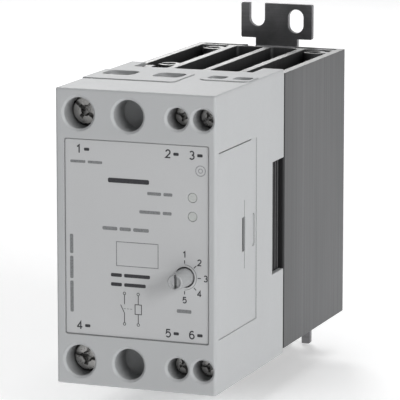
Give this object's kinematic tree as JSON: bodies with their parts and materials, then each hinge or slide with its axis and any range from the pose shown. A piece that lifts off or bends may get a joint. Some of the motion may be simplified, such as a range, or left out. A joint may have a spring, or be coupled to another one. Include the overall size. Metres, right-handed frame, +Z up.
{
  "type": "solid state relay",
  "caption": "Modular solid state relay in a light grey housing with an aluminium heatsink, clamp terminals, a mode selector, indicator lenses and a rail or wall mounting plate.",
  "frame": {"origin": "centre of the rail seat: middle of the mounting plate's rear face, half way up and across", "axes": "+X right seen from the front, +Y towards the rear, +Z up; the front panel looks along -Y"},
  "size_m": [0.045, 0.1188, 0.1006],
  "materials": {
    "housing_grey": "fine matt moulded polyamide, light grey",
    "label_film": "satin printed film",
    "knob_grey": "smooth matt moulding",
    "led_lens": "clear light pipe, polished",
    "black_plastic": "matt black glass-filled moulding",
    "anodised_aluminium": "extruded, grey anodised, sawn ends",
    "plate_steel": "zinc plated pressed sheet, passivated dark",
    "screw_steel": "nickel plated, turned",
    "clamp_steel": "zinc plated, folded",
    "copper": "tinned copper strip, bare at the cuts",
    "board_green": "glass fibre laminate with solder mask",
    "component_black": "moulded epoxy",
    "capacitor_can": "sleeved aluminium can",
    "film_capacitor": "potted plastic box",
    "varistor_blue": "dipped epoxy coat",
    "alumina": "white alumina, ground",
    "silicon": "passivated silicon",
    "pad_grey": "filled silicone film",
    "spring_steel": "drawn spring wire"
  },
  "bodies": {
    "relay": {"base_screws": "screw_steel", "bridge_rectifier": "component_black", "busbar_line": "copper", "busbar_load": "copper", "carrier_frame": "black_plastic", "ceramic_substrate": "alumina", "chip_clips": "copper", "control_chip": "component_black", "control_contacts": "copper", "control_pcb": "board_green", "copper_tracks": "copper", "front_label": "label_film", "gate_pins": "copper", "heatsink": "anodised_aluminium", "housing": "housing_grey", "latch_spring": "spring_steel", "led_chips": "led_lens", "led_lens_control": "led_lens", "led_lens_load": "led_lens", "mode_switch": "component_black", "mounting_plate": "plate_steel", "nut_strip": "clamp_steel", "optocouplers": "component_black", "plate_screws": "screw_steel", "resistors": "component_black", "smoothing_capacitor": "capacitor_can", "snubber_capacitor": "film_capacitor", "thermal_pad": "pad_grey", "thyristor_chips": "silicon", "varistor": "varistor_blue", "voltage_regulator": "component_black"},
    "selector": {"mode_knob": "knob_grey"},
    "line_screw": {"line_clamp_screw": "screw_steel"},
    "line_cage": {"line_clamp_cage": "clamp_steel"},
    "load_screw": {"load_clamp_screw": "screw_steel"},
    "load_cage": {"load_clamp_cage": "clamp_steel"},
    "rail_latch": {"din_latch": "plate_steel"},
    "ctl_screw_top_inner": {"control_screw_top_inner": "screw_steel"},
    "ctl_cage_top_inner": {"control_cage_top_inner": "clamp_steel"},
    "ctl_screw_top_outer": {"control_screw_top_outer": "screw_steel"},
    "ctl_cage_top_outer": {"control_cage_top_outer": "clamp_steel"},
    "ctl_screw_bottom_inner": {"control_screw_bottom_inner": "screw_steel"},
    "ctl_cage_bottom_inner": {"control_cage_bottom_inner": "clamp_steel"},
    "ctl_screw_bottom_outer": {"control_screw_bottom_outer": "screw_steel"},
    "ctl_cage_bottom_outer": {"control_cage_bottom_outer": "clamp_steel"}
  },
  "joints": [
    {"name": "mode_select", "type": "hinge", "parent": "relay", "child": "selector", "pos_m": [0.0137, -0.1085, -0.0085], "axis": [0, 1, 0], "range_deg": [0, 180]},
    {"name": "line_screw_turn", "type": "hinge", "parent": "relay", "child": "line_screw", "pos_m": [-0.016, -0.1031, 0.0332], "axis": [0, 1, 0], "range_deg": [0, 2880]},
    {"name": "line_cage_lift", "type": "slide", "parent": "relay", "child": "line_cage", "axis": [0, -1, 0], "range_m": [0, 0.0064]},
    {"name": "load_screw_turn", "type": "hinge", "parent": "relay", "child": "load_screw", "pos_m": [-0.016, -0.1031, -0.0332], "axis": [0, 1, 0], "range_deg": [0, 2880]},
    {"name": "load_cage_lift", "type": "slide", "parent": "relay", "child": "load_cage", "axis": [0, -1, 0], "range_m": [0, 0.0064]},
    {"name": "ctl_screw_turn_top_inner", "type": "hinge", "parent": "relay", "child": "ctl_screw_top_inner", "pos_m": [0.01165, -0.1029, 0.0332], "axis": [0, 1, 0], "range_deg": [0, 3600]},
    {"name": "ctl_cage_lift_top_inner", "type": "slide", "parent": "relay", "child": "ctl_cage_top_inner", "axis": [0, -1, 0], "range_m": [0, 0.0045]},
    {"name": "ctl_screw_turn_top_outer", "type": "hinge", "parent": "relay", "child": "ctl_screw_top_outer", "pos_m": [0.0188, -0.1029, 0.0332], "axis": [0, 1, 0], "range_deg": [0, 3600]},
    {"name": "ctl_cage_lift_top_outer", "type": "slide", "parent": "relay", "child": "ctl_cage_top_outer", "axis": [0, -1, 0], "range_m": [0, 0.0045]},
    {"name": "ctl_screw_turn_bottom_inner", "type": "hinge", "parent": "relay", "child": "ctl_screw_bottom_inner", "pos_m": [0.01165, -0.1029, -0.0332], "axis": [0, 1, 0], "range_deg": [0, 3600]},
    {"name": "ctl_cage_lift_bottom_inner", "type": "slide", "parent": "relay", "child": "ctl_cage_bottom_inner", "axis": [0, -1, 0], "range_m": [0, 0.0045]},
    {"name": "ctl_screw_turn_bottom_outer", "type": "hinge", "parent": "relay", "child": "ctl_screw_bottom_outer", "pos_m": [0.0188, -0.1029, -0.0332], "axis": [0, 1, 0], "range_deg": [0, 3600]},
    {"name": "ctl_cage_lift_bottom_outer", "type": "slide", "parent": "relay", "child": "ctl_cage_bottom_outer", "axis": [0, -1, 0], "range_m": [0, 0.0045]},
    {"name": "latch_slide", "type": "slide", "parent": "relay", "child": "rail_latch", "axis": [0, 0, -1], "range_m": [0, 0.003], "stiffness_N_per_m": 800, "springref_m": -0.003, "deforming": ["latch_spring"]}
  ],
  "couplings": [
    {"joint": "line_screw_turn", "follows": "line_cage_lift", "rad_per_m": 7854},
    {"joint": "load_screw_turn", "follows": "load_cage_lift", "rad_per_m": 7854},
    {"joint": "ctl_screw_turn_top_inner", "follows": "ctl_cage_lift_top_inner", "rad_per_m": 13963},
    {"joint": "ctl_screw_turn_top_outer", "follows": "ctl_cage_lift_top_outer", "rad_per_m": 13963},
    {"joint": "ctl_screw_turn_bottom_inner", "follows": "ctl_cage_lift_bottom_inner", "rad_per_m": 13963},
    {"joint": "ctl_screw_turn_bottom_outer", "follows": "ctl_cage_lift_bottom_outer", "rad_per_m": 13963}
  ]
}
